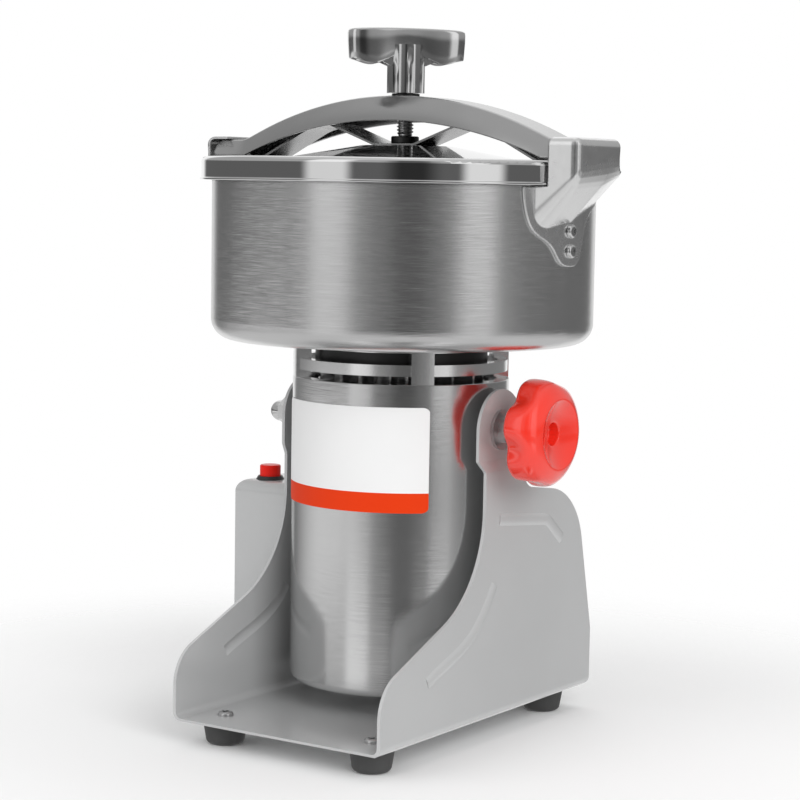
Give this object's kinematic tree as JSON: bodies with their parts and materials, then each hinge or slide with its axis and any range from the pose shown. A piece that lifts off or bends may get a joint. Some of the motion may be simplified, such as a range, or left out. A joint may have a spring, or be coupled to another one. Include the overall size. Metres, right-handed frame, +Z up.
{
  "type": "electric grain mill",
  "caption": "Swing-head electric grain mill: steel bowl with a screw-clamped lid on a motor tube that tilts in a bent-sheet stand, with a switch box and a star clamping knob.",
  "frame": {"origin": "on the ground under the middle of the overall box, with the head upright", "axes": "+Z up, -Y the open front where the bowl pours, +X towards the star knob, the control box at -X"},
  "size_m": [0.272, 0.2468, 0.4218],
  "materials": {
    "stand_paint": "semi-gloss silver-gray paint on bent sheet",
    "foot_rubber": "matte dark rubber",
    "zinc_steel": "zinc-plated steel",
    "bright_screws": "bright plated steel",
    "black_plastic": "fine-grained black plastic",
    "pin_brass": "nickel-plated brass",
    "red_lens": "clear red moulding",
    "tube_steel": "polished stainless tube with fine lines",
    "label_film": "white film with an orange band, no printing",
    "boss_steel": "turned steel",
    "dark_spacer": "blackened steel",
    "knob_red": "glossy red-orange moulding",
    "cast_alu": "machined casting",
    "lamination": "stacked electrical sheet",
    "copper_wire": "varnished copper",
    "carbon": "graphite",
    "bearing_steel": "ground steel",
    "fan_plastic": "pressed sheet",
    "bowl_steel": "satin stainless with soft upright bands",
    "blade_steel": "ground stainless",
    "polished_steel": "mirror-polished stainless",
    "beam_steel": "brushed stainless",
    "gasket_silicone": "pale silicone",
    "screw_steel": "turned steel screw",
    "handle_chrome": "chrome-plated casting"
  },
  "bodies": {
    "stand": {"stand_frame": "stand_paint", "rubber_feet": "foot_rubber", "foot_screws": "zinc_steel", "foot_nuts": "zinc_steel", "control_box": "stand_paint", "control_box_screws": "zinc_steel", "power_inlet": "black_plastic", "inlet_pins": "pin_brass", "switch_body": "black_plastic", "lead_grommet": "foot_rubber"},
    "button": {"power_button": "red_lens"},
    "head": {"motor_tube": "tube_steel", "tube_bottom_plate": "tube_steel", "bottom_plate_screws": "zinc_steel", "lead_gland": "black_plastic", "label_plate": "label_film", "pivot_bosses": "boss_steel", "pivot_stud": "zinc_steel", "pivot_washer": "zinc_steel", "pivot_nut": "zinc_steel", "pivot_dome_nut": "bright_screws", "neck_casting": "cast_alu", "stator_core": "lamination", "field_coils": "copper_wire", "lower_bracket": "cast_alu", "tie_bolts": "zinc_steel", "brush_holders": "black_plastic", "carbon_brushes": "carbon", "lower_bearing": "bearing_steel", "upper_bearing": "bearing_steel", "bowl": "bowl_steel", "bowl_screws": "zinc_steel", "shaft_seal": "foot_rubber", "hook_bracket_right": "polished_steel", "hook_bracket_left": "polished_steel", "bracket_screws": "bright_screws", "bracket_nuts": "zinc_steel"},
    "rotor": {"motor_shaft": "boss_steel", "armature_core": "lamination", "armature_windings": "copper_wire", "commutator": "copper_wire", "cooling_fan": "fan_plastic", "lower_blade": "blade_steel", "middle_blade": "blade_steel", "upper_blade": "blade_steel", "blade_spacers": "boss_steel", "blade_nut": "zinc_steel"},
    "knob_washers": {"knob_washer": "zinc_steel", "knob_spacer": "zinc_steel", "knob_collar": "dark_spacer"},
    "knob": {"star_knob": "knob_red", "knob_stud": "zinc_steel"},
    "beam": {"clamp_beam": "beam_steel", "beam_nut": "cast_alu"},
    "lid": {"lid": "polished_steel", "lid_gasket": "gasket_silicone", "lid_strap": "polished_steel", "screw_socket": "cast_alu"},
    "screw": {"clamp_screw": "screw_steel", "t_handle": "handle_chrome"}
  },
  "joints": [
    {"name": "head_tilt", "type": "hinge", "parent": "stand", "child": "head", "pos_m": [0, 0.00105, 0.18637], "axis": [1, 0, 0], "range_deg": [-45, 95]},
    {"name": "knob_slide", "type": "slide", "parent": "head", "child": "knob_washers", "axis": [1, 0, 0], "range_m": [0, 0.003]},
    {"name": "knob_turn", "type": "hinge", "parent": "knob_washers", "child": "knob", "pos_m": [0, 0.00105, 0.18637], "axis": [1, 0, 0], "range_deg": [0, 720]},
    {"name": "rotor_spin", "type": "hinge", "parent": "head", "child": "rotor", "pos_m": [0, 0.00105, 0.1], "axis": [0, 0, 1], "continuous": true},
    {"name": "beam_swivel", "type": "hinge", "parent": "head", "child": "beam", "pos_m": [0, 0.00105, 0.38], "axis": [0, 0, 1], "range_deg": [0, 150]},
    {"name": "lid_lift", "type": "slide", "parent": "beam", "child": "lid", "axis": [0, 0, 1], "range_m": [0, 0.0012]},
    {"name": "screw_turn", "type": "hinge", "parent": "lid", "child": "screw", "pos_m": [0, 0.00105, 0.36], "axis": [0, 0, 1], "range_deg": [0, 216]},
    {"name": "button_press", "type": "slide", "parent": "stand", "child": "button", "axis": [0, 0, -1], "range_m": [0, 0.003], "stiffness_N_per_m": 300, "springref_m": -0.003}
  ],
  "couplings": [
    {"joint": "knob_turn", "follows": "knob_slide", "rad_per_m": 4188.8},
    {"joint": "screw_turn", "follows": "lid_lift", "rad_per_m": 3141.6}
  ]
}
